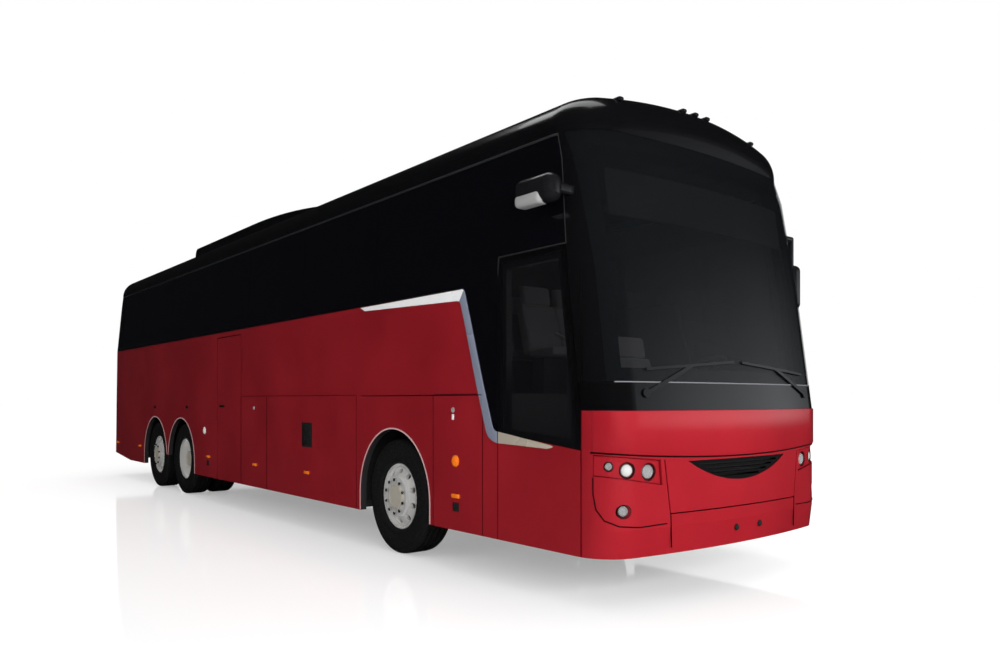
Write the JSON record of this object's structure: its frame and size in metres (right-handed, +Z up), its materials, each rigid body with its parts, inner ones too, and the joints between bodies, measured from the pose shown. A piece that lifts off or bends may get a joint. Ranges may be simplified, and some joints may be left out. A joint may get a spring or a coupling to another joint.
{
  "type": "coach bus",
  "caption": "Three-axle touring coach with a hollow glazed body, steered front wheels, hinged doors, luggage flaps, engine door and roof hatches.",
  "frame": {"origin": "on the ground under the middle of the coach", "axes": "+X forward, +Y to the driver's side (left), +Z up"},
  "size_m": [13.1951, 2.94, 3.745],
  "materials": {
    "body_paint": "red metallic paint under clear lacquer",
    "black_paint": "gloss black paint",
    "black_trim": "gloss black moulded plastic",
    "tinted_glass": "dark tinted safety glass",
    "screen_glass": "clear laminated screen",
    "lamp_glass": "clear lamp lens over a bright reflector",
    "lamp_red": "red lamp lens",
    "chassis_paint": "dark grey chassis paint",
    "axle_iron": "black painted casting",
    "engine_iron": "grey painted casting",
    "wheel_alloy": "polished forged aluminium",
    "tyre": "black road tyre",
    "rubber": "black rubber bellows",
    "interior_plastic": "dark grained moulding",
    "seat_fabric": "grey woven upholstery",
    "floor_cover": "grey ribbed floor covering",
    "grille_black": "matt black moulding"
  },
  "bodies": {
    "coach_body": {"air_springs": "rubber", "cabin_floor": "floor_cover", "cabin_glass": "tinted_glass", "chassis_rails": "chassis_paint", "dashboard": "interior_plastic", "drive_axle": "axle_iron", "driver_seat": "seat_fabric", "engine": "engine_iron", "entry_steps": "floor_cover", "front_axle": "axle_iron", "front_frame": "black_paint", "front_mask": "body_paint", "headlamps": "lamp_glass", "left_wall": "body_paint", "mirrors": "black_trim", "passenger_seats": "seat_fabric", "rear_lamps": "lamp_red", "rear_wall": "body_paint", "right_wall": "body_paint", "roof": "black_paint", "roof_fairing": "black_paint", "tag_axle": "axle_iron", "underbody": "chassis_paint", "wheel_housings": "grille_black", "windscreen": "screen_glass", "wipers": "black_trim"},
    "knuckle_left": {"knuckle_left": "axle_iron"},
    "knuckle_right": {"knuckle_right": "axle_iron"},
    "tie_rod": {"tie_rod": "axle_iron"},
    "steering_wheel": {"steering_wheel": "interior_plastic"},
    "front_wheel_left": {"front_rim_left": "wheel_alloy", "front_tyre_left": "tyre"},
    "front_wheel_right": {"front_rim_right": "wheel_alloy", "front_tyre_right": "tyre"},
    "drive_wheel_left": {"drive_rim_left": "wheel_alloy", "drive_tyre_left": "tyre"},
    "drive_wheel_right": {"drive_rim_right": "wheel_alloy", "drive_tyre_right": "tyre"},
    "tag_wheel_left": {"tag_rim_left": "wheel_alloy", "tag_tyre_left": "tyre"},
    "tag_wheel_right": {"tag_rim_right": "wheel_alloy", "tag_tyre_right": "tyre"},
    "entry_arm": {"entry_door_arm": "chassis_paint"},
    "entry_leaf": {"entry_door": "body_paint", "entry_door_glass": "tinted_glass"},
    "mid_door": {"mid_door": "body_paint"},
    "luggage_flap_rear_left": {"luggage_flap_rear_left": "body_paint"},
    "luggage_flap_rear_right": {"luggage_flap_rear_right": "body_paint"},
    "luggage_flap_front_left": {"luggage_flap_front_left": "body_paint"},
    "luggage_flap_front_right": {"luggage_flap_front_right": "body_paint"},
    "service_flap_right": {"service_flap_right": "body_paint"},
    "front_flap": {"front_flap": "body_paint", "front_grille": "grille_black"},
    "engine_door": {"engine_door": "body_paint"},
    "roof_hatch_front": {"roof_hatch_front": "black_paint"},
    "roof_hatch_rear": {"roof_hatch_rear": "black_paint"}
  },
  "joints": [
    {"name": "steer_left", "type": "hinge", "parent": "coach_body", "child": "knuckle_left", "pos_m": [3.75, 0.9, 0.515], "axis": [0, 0, 1], "range_deg": [-42, 42]},
    {"name": "steer_right", "type": "hinge", "parent": "coach_body", "child": "knuckle_right", "pos_m": [3.75, -0.9, 0.515], "axis": [0, 0, 1], "range_deg": [-42, 42]},
    {"name": "tie_rod_turn", "type": "hinge", "parent": "knuckle_left", "child": "tie_rod", "pos_m": [3.52, 0.9, 0.393], "axis": [0, 0, 1], "range_deg": [-42, 42]},
    {"name": "steering_wheel_turn", "type": "hinge", "parent": "coach_body", "child": "steering_wheel", "pos_m": [5.71, 0.65, 1.65], "axis": [-0.4695, 0, 0.8829], "range_deg": [-420, 420]},
    {"name": "front_wheel_left_spin", "type": "hinge", "parent": "knuckle_left", "child": "front_wheel_left", "pos_m": [3.75, 1.09, 0.515], "axis": [0, 1, 0], "continuous": true},
    {"name": "front_wheel_right_spin", "type": "hinge", "parent": "knuckle_right", "child": "front_wheel_right", "pos_m": [3.75, -1.09, 0.515], "axis": [0, 1, 0], "continuous": true},
    {"name": "drive_wheel_left_spin", "type": "hinge", "parent": "coach_body", "child": "drive_wheel_left", "pos_m": [-2.47, 1.09, 0.515], "axis": [0, 1, 0], "continuous": true},
    {"name": "drive_wheel_right_spin", "type": "hinge", "parent": "coach_body", "child": "drive_wheel_right", "pos_m": [-2.47, -1.09, 0.515], "axis": [0, 1, 0], "continuous": true},
    {"name": "tag_wheel_left_spin", "type": "hinge", "parent": "coach_body", "child": "tag_wheel_left", "pos_m": [-3.81, 1.09, 0.515], "axis": [0, 1, 0], "continuous": true},
    {"name": "tag_wheel_right_spin", "type": "hinge", "parent": "coach_body", "child": "tag_wheel_right", "pos_m": [-3.81, -1.09, 0.515], "axis": [0, 1, 0], "continuous": true},
    {"name": "entry_door_swing", "type": "hinge", "parent": "coach_body", "child": "entry_arm", "pos_m": [5.99, -1.15, 1.4], "axis": [0, 0, 1], "range_deg": [0, 140]},
    {"name": "entry_door_hang", "type": "hinge", "parent": "entry_arm", "child": "entry_leaf", "pos_m": [5.55, -1.15, 1.4], "axis": [0, 0, 1], "range_deg": [-140, 0]},
    {"name": "mid_door_swing", "type": "hinge", "parent": "coach_body", "child": "mid_door", "pos_m": [-0.01715, -1.277, 1.25], "axis": [0, 0, 1], "range_deg": [0, 90]},
    {"name": "luggage_flap_rear_left_lift", "type": "hinge", "parent": "coach_body", "child": "luggage_flap_rear_left", "pos_m": [0.4, 1.277, 1.41985], "axis": [1, 0, 0], "range_deg": [0, 90]},
    {"name": "luggage_flap_rear_right_lift", "type": "hinge", "parent": "coach_body", "child": "luggage_flap_rear_right", "pos_m": [0.4, -1.277, 1.41985], "axis": [-1, 0, 0], "range_deg": [0, 90]},
    {"name": "luggage_flap_front_left_lift", "type": "hinge", "parent": "coach_body", "child": "luggage_flap_front_left", "pos_m": [1.9335, 1.277, 1.41985], "axis": [1, 0, 0], "range_deg": [0, 90]},
    {"name": "luggage_flap_front_right_lift", "type": "hinge", "parent": "coach_body", "child": "luggage_flap_front_right", "pos_m": [1.9335, -1.277, 1.41985], "axis": [-1, 0, 0], "range_deg": [0, 90]},
    {"name": "service_flap_right_lift", "type": "hinge", "parent": "coach_body", "child": "service_flap_right", "pos_m": [4.769, -1.277, 1.41985], "axis": [-1, 0, 0], "range_deg": [0, 90]},
    {"name": "front_flap_lift", "type": "hinge", "parent": "coach_body", "child": "front_flap", "pos_m": [6.602, 0, 0.97715], "axis": [0, -1, 0], "range_deg": [0, 80]},
    {"name": "engine_door_lift", "type": "hinge", "parent": "coach_body", "child": "engine_door", "pos_m": [-6.558, 0, 1.56015], "axis": [0, 1, 0], "range_deg": [0, 80]},
    {"name": "roof_hatch_front_lift", "type": "hinge", "parent": "coach_body", "child": "roof_hatch_front", "pos_m": [4.96985, 0, 3.627], "axis": [0, 1, 0], "range_deg": [0, 45]},
    {"name": "roof_hatch_rear_lift", "type": "hinge", "parent": "coach_body", "child": "roof_hatch_rear", "pos_m": [-4.43015, 0, 3.627], "axis": [0, 1, 0], "range_deg": [0, 45]}
  ],
  "couplings": [
    {"joint": "steer_right", "follows": "steer_left", "ratio": 1},
    {"joint": "tie_rod_turn", "follows": "steer_left", "ratio": -1},
    {"joint": "steering_wheel_turn", "follows": "steer_left", "ratio": 10},
    {"joint": "entry_door_hang", "follows": "entry_door_swing", "ratio": -1}
  ]
}
